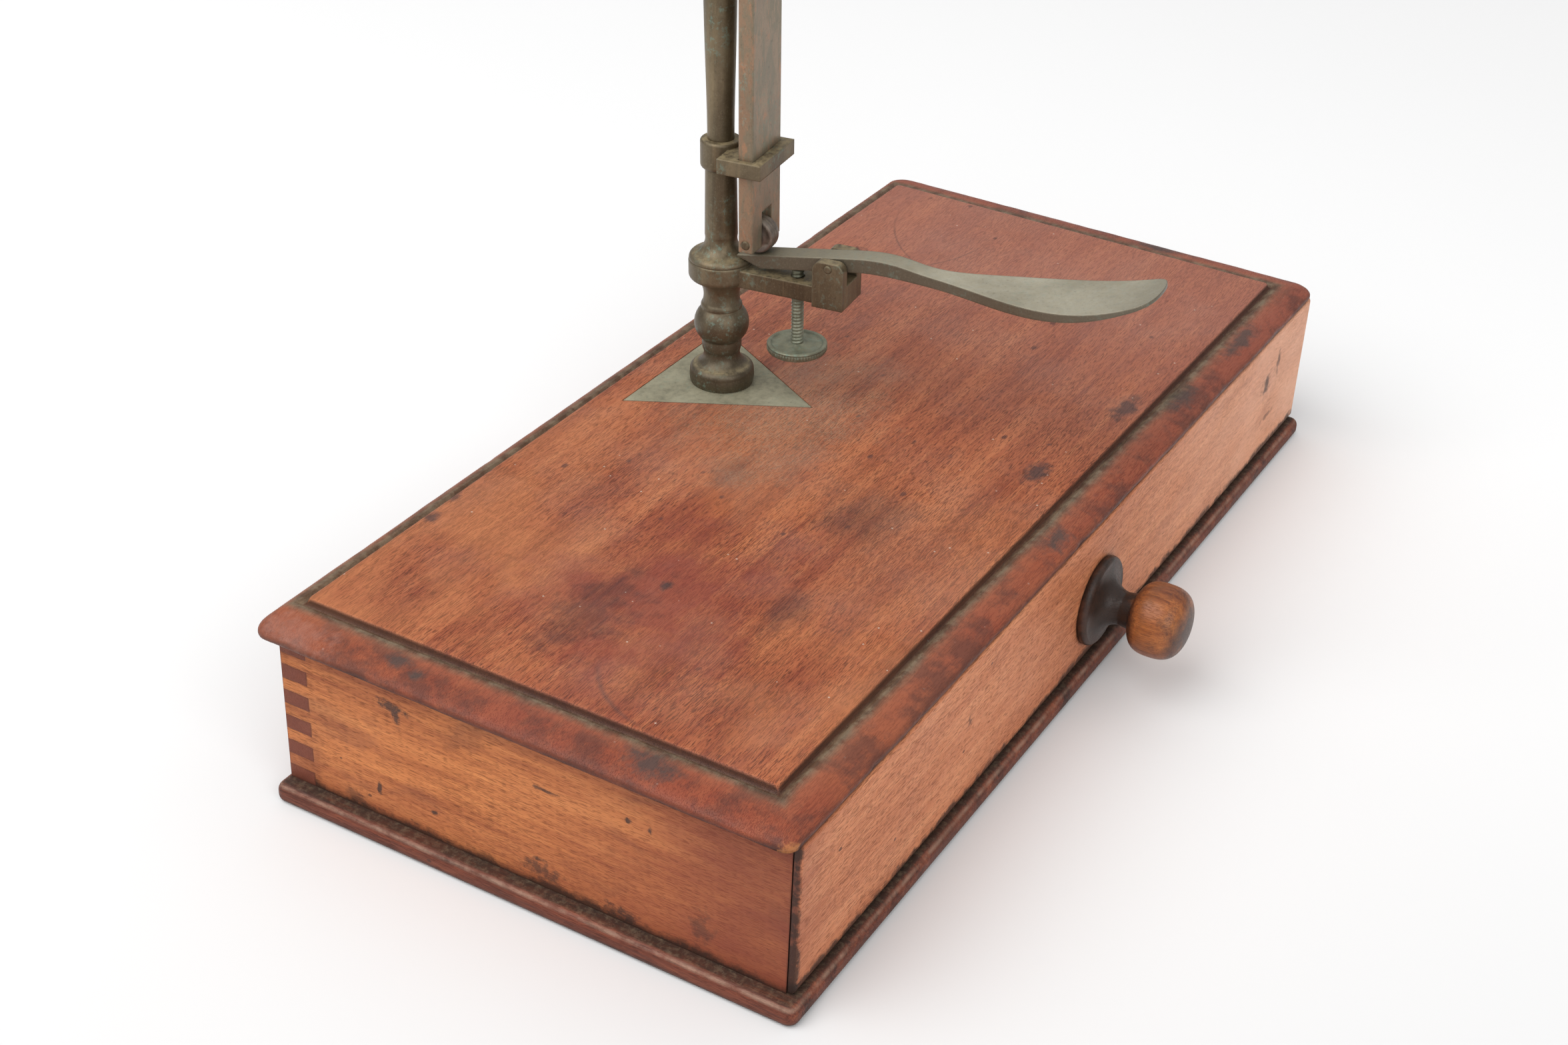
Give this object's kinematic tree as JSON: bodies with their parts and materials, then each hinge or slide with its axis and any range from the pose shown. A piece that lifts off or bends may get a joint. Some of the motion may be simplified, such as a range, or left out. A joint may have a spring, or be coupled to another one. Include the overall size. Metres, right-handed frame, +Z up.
{
  "type": "apothecary balance stand",
  "caption": "Antique apothecary's beam balance: a brass column with a lever-lifted bar and small beam on a moulded mahogany box with a drawer.",
  "frame": {"origin": "under the middle of the box, on the underside of the bottom board, which it rests on", "axes": "+Z up, +X along the box to its right-hand end, -Y towards the drawer's knob; the brass stand is turned 6 degrees about +Z on the box and leans 1.7 degrees to the back"},
  "size_m": [0.2933, 0.1582, 0.3108],
  "materials": {
    "top_mahogany": "old polished mahogany, worn and stained",
    "side_mahogany": "old mahogany, worn",
    "base_mahogany": "dark mahogany with a pale worn arris",
    "drawer_mahogany": "lighter mahogany, dull",
    "drawer_pine": "bare softwood, aged",
    "knob_wood": "turned and dark stained, worn at the end",
    "column_brass": "aged, brown to olive patina",
    "lever_brass": "aged, dull olive-grey patina",
    "bar_brass": "aged, coppery brown with grey-green spots",
    "screw_steel": "dull steel"
  },
  "bodies": {
    "stand": {"top_board": "top_mahogany", "left_side": "side_mahogany", "right_side": "side_mahogany", "back_board": "side_mahogany", "bottom_board": "base_mahogany", "bottom_screws": "screw_steel", "foot_plate": "column_brass", "column_base": "column_brass", "column_stud": "screw_steel", "stud_washer": "column_brass", "stud_nut": "screw_steel", "arm_bracket": "column_brass", "pivot_pin": "column_brass", "lower_shaft": "column_brass", "lower_guide": "column_brass", "upper_shaft": "column_brass", "upper_guide": "column_brass", "finial": "column_brass"},
    "drawer": {"drawer_front": "drawer_mahogany", "drawer_left_side": "drawer_pine", "drawer_right_side": "drawer_pine", "drawer_back": "drawer_pine", "drawer_bottom": "drawer_pine", "drawer_knob": "knob_wood"},
    "lever": {"lift_lever": "lever_brass"},
    "bar": {"lift_bar": "bar_brass", "roller_pin": "column_brass", "beam_carrier": "column_brass", "carrier_rivets": "column_brass"},
    "roller": {"lever_roller": "lever_brass"},
    "stop_screw": {"stop_screw": "lever_brass"},
    "stop_screw_head": {"stop_screw_head": "lever_brass"},
    "beam": {"beam": "column_brass", "beam_knife": "screw_steel", "pointer": "screw_steel"},
    "left_hook": {"left_hook": "column_brass"},
    "right_hook": {"right_hook": "column_brass"}
  },
  "joints": [
    {"name": "drawer_slide", "type": "slide", "parent": "stand", "child": "drawer", "axis": [0, -1, 0], "range_m": [0, 0.1]},
    {"name": "lever_pivot", "type": "hinge", "parent": "stand", "child": "lever", "pos_m": [0.00313, 0.01164, 0.08841], "axis": [0.9945, 0.1045, 0], "range_deg": [0, 16]},
    {"name": "bar_lift", "type": "slide", "parent": "stand", "child": "bar", "axis": [-0.0031, 0.0295, 0.9996], "range_m": [0, 0.00583]},
    {"name": "roller_spin", "type": "hinge", "parent": "bar", "child": "roller", "pos_m": [0.00095, 0.03241, 0.09087], "axis": [0.9945, 0.1045, 0], "continuous": true},
    {"name": "stop_screw_travel", "type": "slide", "parent": "stand", "child": "stop_screw", "axis": [-0.0031, 0.0295, 0.9996], "range_m": [-0.003, 0]},
    {"name": "stop_screw_turn", "type": "hinge", "parent": "stop_screw", "child": "stop_screw_head", "pos_m": [0.00213, 0.02113, 0.06281], "axis": [-0.0031, 0.0295, 0.9996], "range_deg": [-1201, 0]},
    {"name": "beam_tilt", "type": "hinge", "parent": "bar", "child": "beam", "pos_m": [0.00129, 0.02908, 0.27477], "axis": [-0.1045, 0.9941, -0.0297], "range_deg": [-8, 8]},
    {"name": "left_hook_swing", "type": "hinge", "parent": "beam", "child": "left_hook", "pos_m": [-0.0902, 0.01946, 0.27457], "axis": [-0.1045, 0.9941, -0.0297], "range_deg": [-20, 20]},
    {"name": "right_hook_swing", "type": "hinge", "parent": "beam", "child": "right_hook", "pos_m": [0.09279, 0.03869, 0.27457], "axis": [-0.1045, 0.9941, -0.0297], "range_deg": [-20, 20]}
  ],
  "couplings": [
    {"joint": "bar_lift", "follows": "lever_pivot", "m_per_rad": 0.020832},
    {"joint": "stop_screw_turn", "follows": "stop_screw_travel", "rad_per_m": 6981.3}
  ]
}
